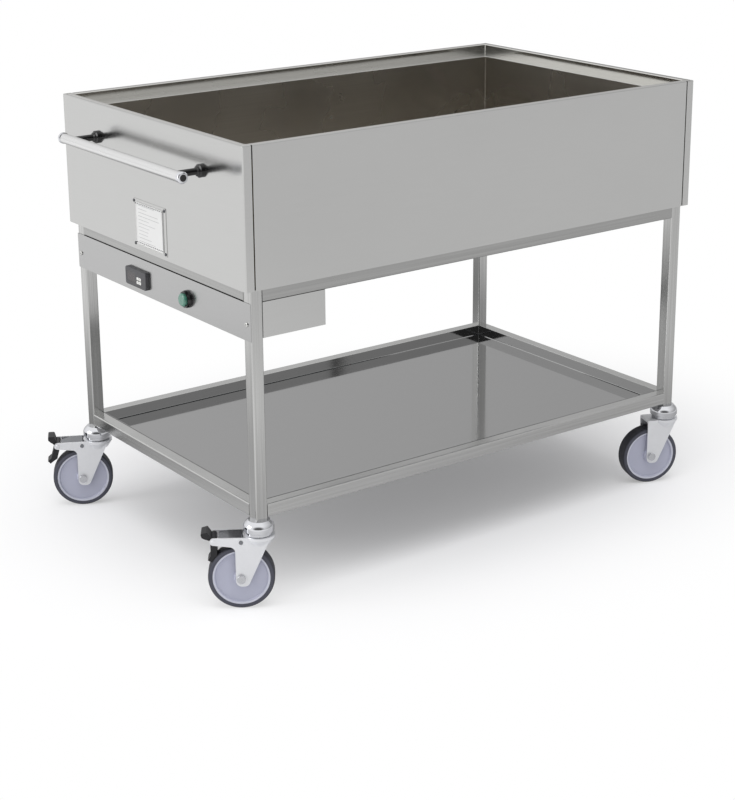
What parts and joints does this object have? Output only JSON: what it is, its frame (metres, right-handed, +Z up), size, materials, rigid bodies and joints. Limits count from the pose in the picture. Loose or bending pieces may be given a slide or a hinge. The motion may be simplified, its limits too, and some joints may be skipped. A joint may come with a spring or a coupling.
{
  "type": "bain marie cart",
  "caption": "Mobile heated water tank for food pans on a tube frame with a lower shelf, push handle, control panel and swivel casters.",
  "frame": {"origin": "on the floor, under the middle of the whole outline with handle and casters", "axes": "+Z up, +X along the tank from the handle and control end, +Y from the long side seen first to the other long side"},
  "size_m": [1.1779, 0.7215, 0.88],
  "materials": {
    "satin_steel": "satin brushed stainless sheet",
    "well_steel": "satin stainless sheet inside the well",
    "tube_steel": "satin stainless tube",
    "shelf_steel": "bright polished stainless sheet",
    "cover_steel": "plain galvanised sheet",
    "foam": "rigid insulating foam",
    "silicone": "silicone heating mat",
    "probe_steel": "stainless probe sleeve",
    "nickel": "nickel-plated brass",
    "lever_paint": "red dipped steel lever",
    "handle_steel": "satin stainless handle tube",
    "bright_chrome": "bright chrome",
    "black_gloss": "glossy black moulded plastic",
    "plate_white": "plain white printed plate",
    "rivet_alu": "aluminium rivets",
    "case_grey": "dark grey moulded plastic",
    "window_dark": "smoked display window",
    "key_white": "white moulded keys",
    "button_green": "translucent green lens",
    "gland_grey": "dark polyamide gland",
    "screw_steel": "stainless screws",
    "zinc": "bright zinc-plated pressed steel",
    "wheel_grey": "bluish grey polyamide",
    "tyre_rubber": "dark grey non-marking rubber",
    "pedal_black": "black glass-filled plastic"
  },
  "bodies": {
    "chassis": {"well": "well_steel", "well_ledge": "well_steel", "well_rim": "wheel_grey", "end_panel_left": "satin_steel", "end_panel_right": "satin_steel", "front_panel": "satin_steel", "back_panel": "satin_steel", "bottom_cover": "cover_steel", "insulation": "foam", "heating_mat": "silicone", "temperature_probe": "probe_steel", "drain_outlet": "probe_steel", "drain_valve": "nickel", "legs": "tube_steel", "upper_rails": "tube_steel", "lower_rails": "tube_steel", "shelf_tray": "shelf_steel", "handle_tube": "handle_steel", "handle_end_caps": "bright_chrome", "handle_standoffs": "black_gloss", "data_plate": "plate_white", "plate_rivets": "rivet_alu", "control_panel": "satin_steel", "panel_screws": "screw_steel", "control_housing": "satin_steel", "cable_gland": "gland_grey", "thermostat_case": "case_grey", "thermostat_window": "window_dark", "switch_collar": "black_gloss", "caster_front_left_head": "bright_chrome", "caster_front_right_head": "bright_chrome", "caster_back_left_head": "bright_chrome", "caster_back_right_head": "bright_chrome"},
    "front_left_fork": {"caster_front_left_fork": "zinc", "caster_front_left_axle": "zinc", "caster_front_left_brake_plate": "zinc"},
    "front_left_wheel": {"caster_front_left_rim": "wheel_grey", "caster_front_left_tyre": "tyre_rubber"},
    "front_left_brake": {"caster_front_left_brake_pedal": "pedal_black"},
    "front_right_fork": {"caster_front_right_fork": "zinc", "caster_front_right_axle": "zinc"},
    "front_right_wheel": {"caster_front_right_rim": "wheel_grey", "caster_front_right_tyre": "tyre_rubber"},
    "back_left_fork": {"caster_back_left_fork": "zinc", "caster_back_left_axle": "zinc", "caster_back_left_brake_plate": "zinc"},
    "back_left_wheel": {"caster_back_left_rim": "wheel_grey", "caster_back_left_tyre": "tyre_rubber"},
    "back_left_brake": {"caster_back_left_brake_pedal": "pedal_black"},
    "back_right_fork": {"caster_back_right_fork": "zinc", "caster_back_right_axle": "zinc"},
    "back_right_wheel": {"caster_back_right_rim": "wheel_grey", "caster_back_right_tyre": "tyre_rubber"},
    "key_up": {"thermostat_key_up": "key_white"},
    "key_down": {"thermostat_key_down": "key_white"},
    "key_set": {"thermostat_key_set": "key_white"},
    "key_power": {"thermostat_key_power": "key_white"},
    "green_button": {"switch_button": "button_green"},
    "valve_lever": {"drain_lever": "lever_paint"}
  },
  "joints": [
    {"name": "front_left_swivel", "type": "hinge", "parent": "chassis", "child": "front_left_fork", "pos_m": [-0.4885, -0.3315, 0.145], "axis": [0, 0, 1], "continuous": true},
    {"name": "front_left_roll", "type": "hinge", "parent": "front_left_fork", "child": "front_left_wheel", "pos_m": [-0.51669, -0.31249, 0.0625], "axis": [-0.5592, -0.829, 0], "continuous": true},
    {"name": "front_left_brake_press", "type": "hinge", "parent": "front_left_fork", "child": "front_left_brake", "pos_m": [-0.55814, -0.28453, 0.1375], "axis": [-0.5592, -0.829, 0], "range_deg": [-16, 0]},
    {"name": "front_right_swivel", "type": "hinge", "parent": "chassis", "child": "front_right_fork", "pos_m": [0.5585, -0.3315, 0.145], "axis": [0, 0, 1], "continuous": true},
    {"name": "front_right_roll", "type": "hinge", "parent": "front_right_fork", "child": "front_right_wheel", "pos_m": [0.52684, -0.31909, 0.0625], "axis": [-0.3649, -0.9311, 0], "continuous": true},
    {"name": "back_left_swivel", "type": "hinge", "parent": "chassis", "child": "back_left_fork", "pos_m": [-0.4885, 0.2975, 0.145], "axis": [0, 0, 1], "continuous": true},
    {"name": "back_left_roll", "type": "hinge", "parent": "back_left_fork", "child": "back_left_wheel", "pos_m": [-0.51852, 0.31346, 0.0625], "axis": [-0.4695, -0.8829, 0], "continuous": true},
    {"name": "back_left_brake_press", "type": "hinge", "parent": "back_left_fork", "child": "back_left_brake", "pos_m": [-0.56267, 0.33694, 0.1375], "axis": [-0.4695, -0.8829, 0], "range_deg": [0, 16]},
    {"name": "back_right_swivel", "type": "hinge", "parent": "chassis", "child": "back_right_fork", "pos_m": [0.5585, 0.2975, 0.145], "axis": [0, 0, 1], "continuous": true},
    {"name": "back_right_roll", "type": "hinge", "parent": "back_right_fork", "child": "back_right_wheel", "pos_m": [0.52906, 0.3145, 0.0625], "axis": [-0.5, -0.866, 0], "continuous": true},
    {"name": "key_up_press", "type": "slide", "parent": "chassis", "child": "key_up", "axis": [1, 0, 0], "range_m": [0, 0.0005], "stiffness_N_per_m": 200, "springref_m": -0.001},
    {"name": "key_down_press", "type": "slide", "parent": "chassis", "child": "key_down", "axis": [1, 0, 0], "range_m": [0, 0.0005], "stiffness_N_per_m": 200, "springref_m": -0.001},
    {"name": "key_set_press", "type": "slide", "parent": "chassis", "child": "key_set", "axis": [1, 0, 0], "range_m": [0, 0.0005], "stiffness_N_per_m": 200, "springref_m": -0.001},
    {"name": "key_power_press", "type": "slide", "parent": "chassis", "child": "key_power", "axis": [1, 0, 0], "range_m": [0, 0.0005], "stiffness_N_per_m": 200, "springref_m": -0.001},
    {"name": "green_button_press", "type": "slide", "parent": "chassis", "child": "green_button", "axis": [1, 0, 0], "range_m": [0, 0.003], "stiffness_N_per_m": 300, "springref_m": -0.002},
    {"name": "valve_lever_turn", "type": "hinge", "parent": "chassis", "child": "valve_lever", "pos_m": [0.415, 0.085, 0.58], "axis": [0, 1, 0], "range_deg": [0, 90]}
  ]
}
